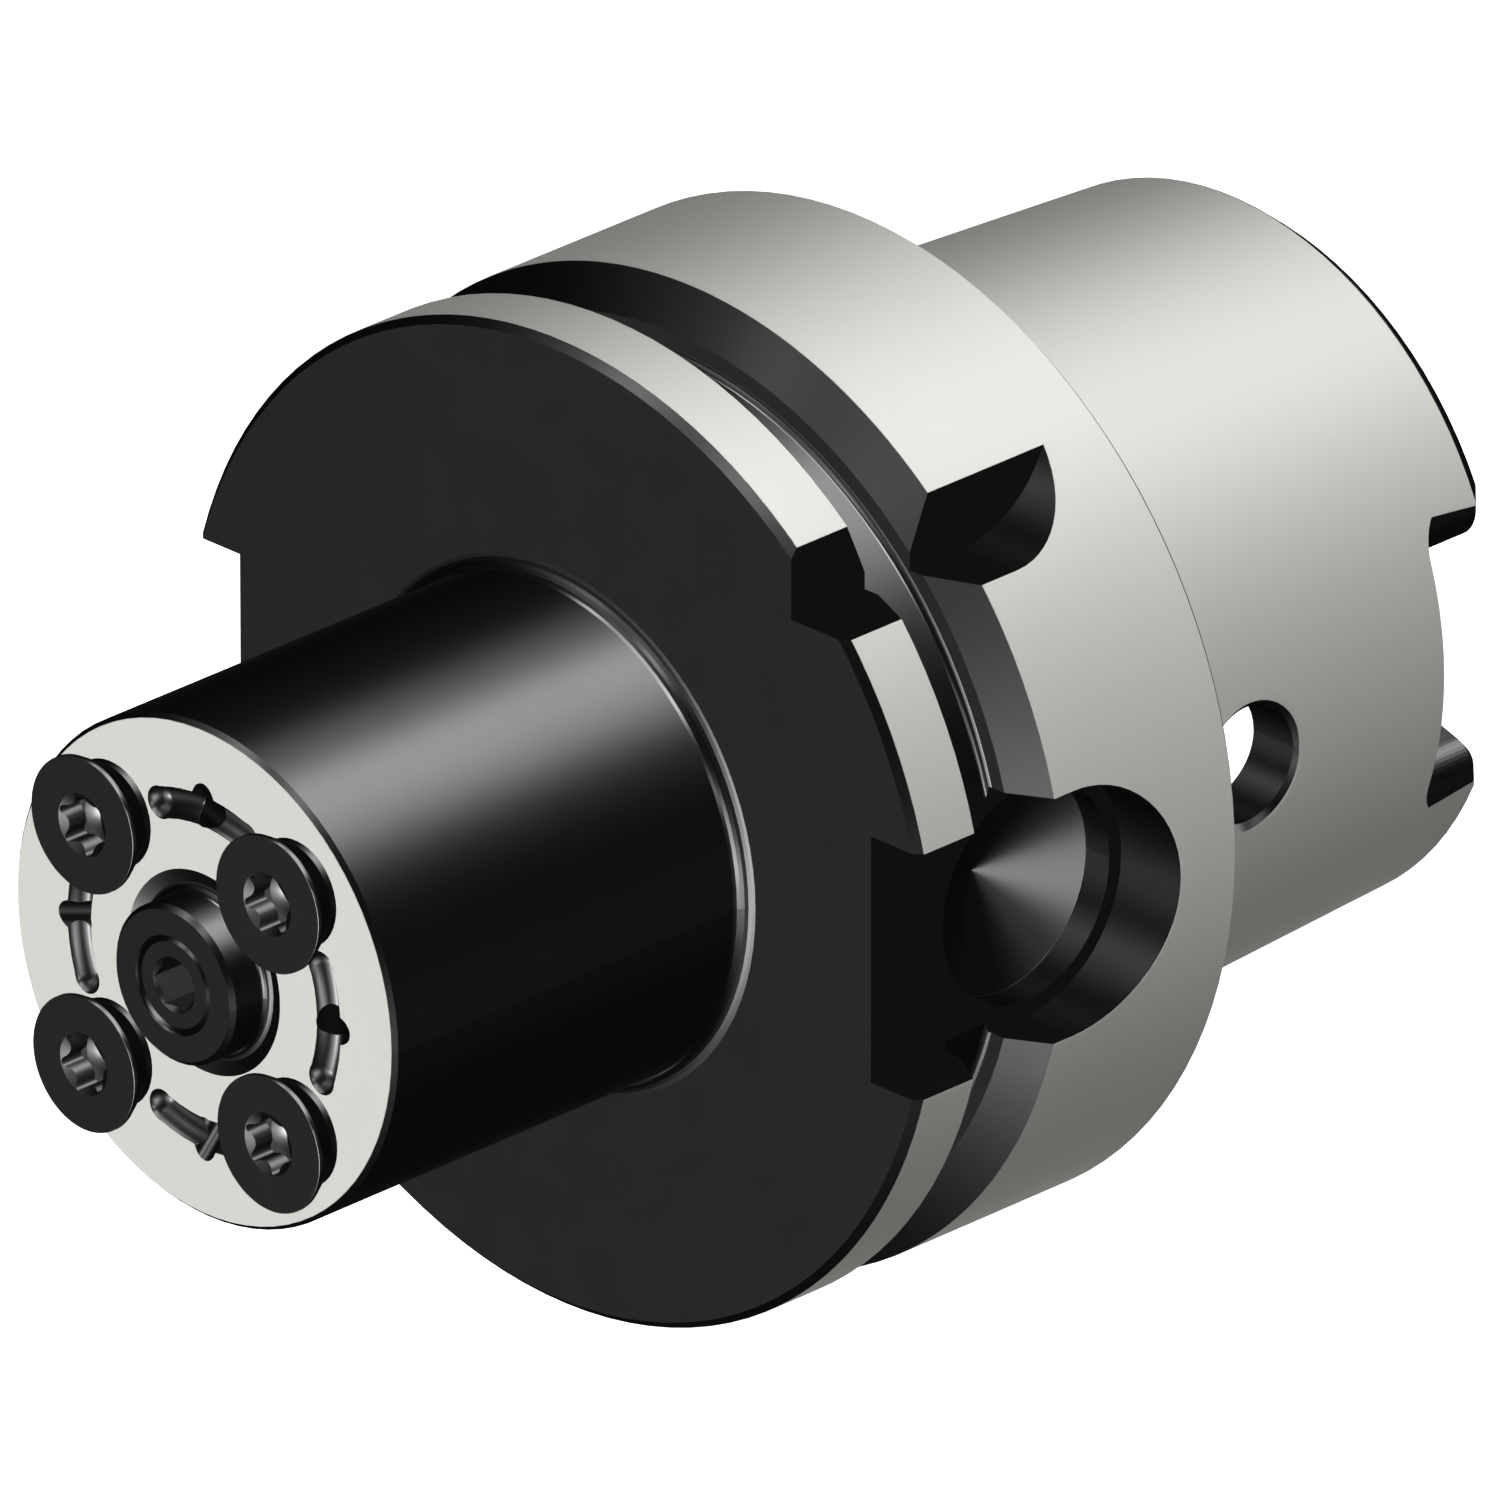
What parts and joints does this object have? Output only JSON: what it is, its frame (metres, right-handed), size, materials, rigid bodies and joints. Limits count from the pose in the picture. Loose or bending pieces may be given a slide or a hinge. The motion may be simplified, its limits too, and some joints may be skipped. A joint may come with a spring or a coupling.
{
  "type": "hollow taper tool adapter",
  "caption": "Hollow taper shank adapter for machine spindles: gripper flange, slim barrel, and a face coupling with cone-headed clamp screws, pilot boss and coolant grooves.",
  "frame": {"origin": "on the tool axis, in the plane of the flange's contact face, where the taper shank begins", "axes": "+Z along the tool axis towards the tool head, -Z into the spindle; X through the two drive slots and the two flange slots, with the narrower flange slot and its blind hole at +X; the orientation notch lies between +X and +Y"},
  "size_m": [0.063, 0.063, 0.0895],
  "materials": {
    "ground_steel": "hardened steel, ground on the taper, rim and faces and blackened elsewhere",
    "black_steel": "black oxide on hardened steel",
    "tube_steel": "turned stainless steel",
    "seal_rubber": "smooth black rubber"
  },
  "bodies": {
    "holder": {"adapter_body": "ground_steel", "coolant_nut": "black_steel"},
    "plug": {"plug_screw": "black_steel"},
    "screw_1": {"clamp_screw_1": "black_steel"},
    "screw_2": {"clamp_screw_2": "black_steel"},
    "screw_3": {"clamp_screw_3": "black_steel"},
    "screw_4": {"clamp_screw_4": "black_steel"},
    "tube": {"coolant_tube": "tube_steel", "front_seal_ring": "seal_rubber", "rear_seal_ring": "seal_rubber"}
  },
  "joints": [
    {"name": "plug_turn", "type": "hinge", "parent": "holder", "child": "plug", "pos_m": [0, 0, 0.055], "axis": [0, 0, 1], "range_deg": [0, 360]},
    {"name": "screw_1_turn", "type": "hinge", "parent": "holder", "child": "screw_1", "pos_m": [0.00778, 0.00778, 0.05], "axis": [0, 0, 1], "range_deg": [0, 540]},
    {"name": "screw_2_turn", "type": "hinge", "parent": "holder", "child": "screw_2", "pos_m": [-0.00778, 0.00778, 0.05], "axis": [0, 0, 1], "range_deg": [0, 540]},
    {"name": "screw_3_turn", "type": "hinge", "parent": "holder", "child": "screw_3", "pos_m": [-0.00778, -0.00778, 0.05], "axis": [0, 0, 1], "range_deg": [0, 540]},
    {"name": "screw_4_turn", "type": "hinge", "parent": "holder", "child": "screw_4", "pos_m": [0.00778, -0.00778, 0.05], "axis": [0, 0, 1], "range_deg": [0, 540]},
    {"name": "tube_swing", "type": "hinge", "parent": "holder", "child": "tube", "pos_m": [0, 0, 0.0053], "axis": [0, 1, 0], "range_deg": [-1, 1]}
  ]
}
